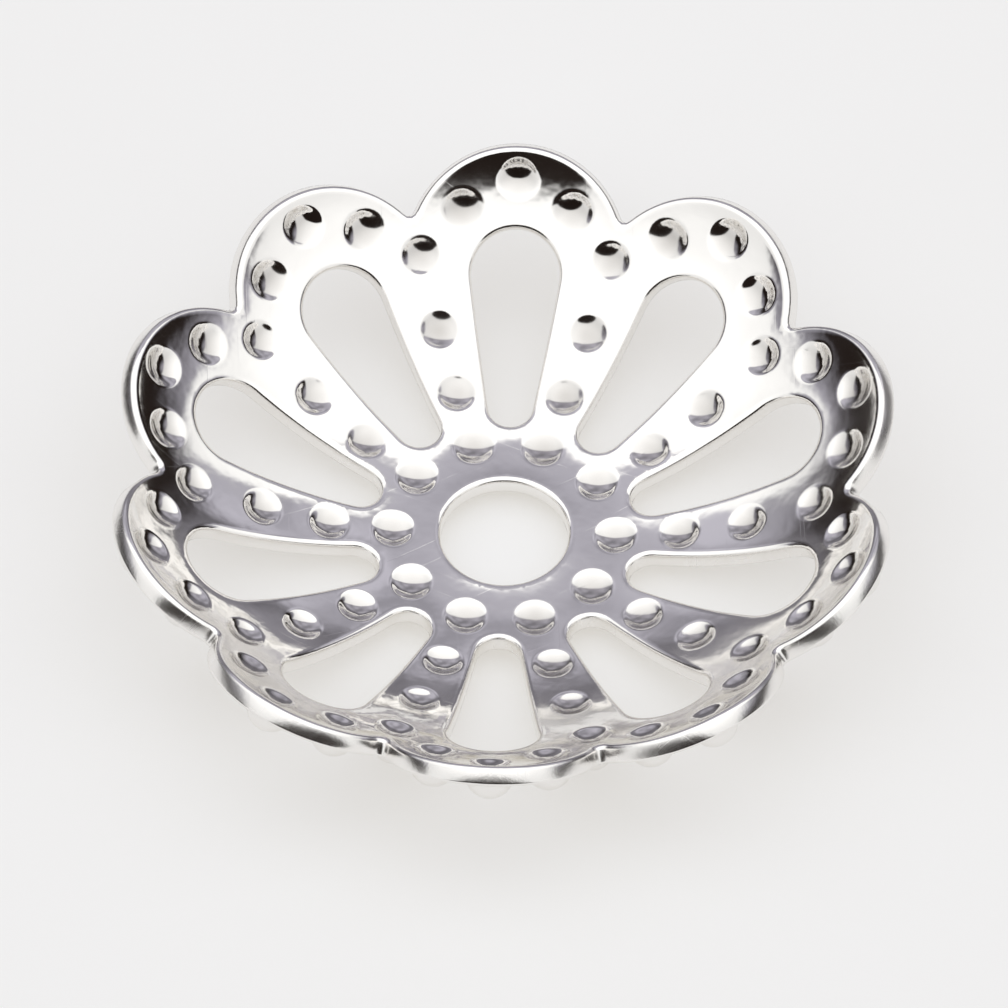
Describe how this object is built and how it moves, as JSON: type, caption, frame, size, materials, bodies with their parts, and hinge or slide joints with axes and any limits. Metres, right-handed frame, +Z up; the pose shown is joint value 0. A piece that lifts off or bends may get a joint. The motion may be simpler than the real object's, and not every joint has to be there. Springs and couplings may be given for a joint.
{
  "type": "bead cap",
  "caption": "Round filigree bead cap: a shallow scalloped bowl of stamped sheet with long teardrop openings, rows of small embossed beads and a centre hole for the stringing wire.",
  "frame": {"origin": "on the hole's axis, level with the lowest points of the hub ring of beads, on which the cap lies with its bowl open upwards", "axes": "+Z up along the hole's axis, out of the open bowl; +Y out along the centre line of one petal"},
  "size_m": [0.0096, 0.01, 0.0021],
  "materials": {
    "silver_plate": "bright silver plating on stamped brass sheet, mirror smooth"
  },
  "bodies": {
    "root": {"bead_cap": "silver_plate"}
  },
  "joints": []
}
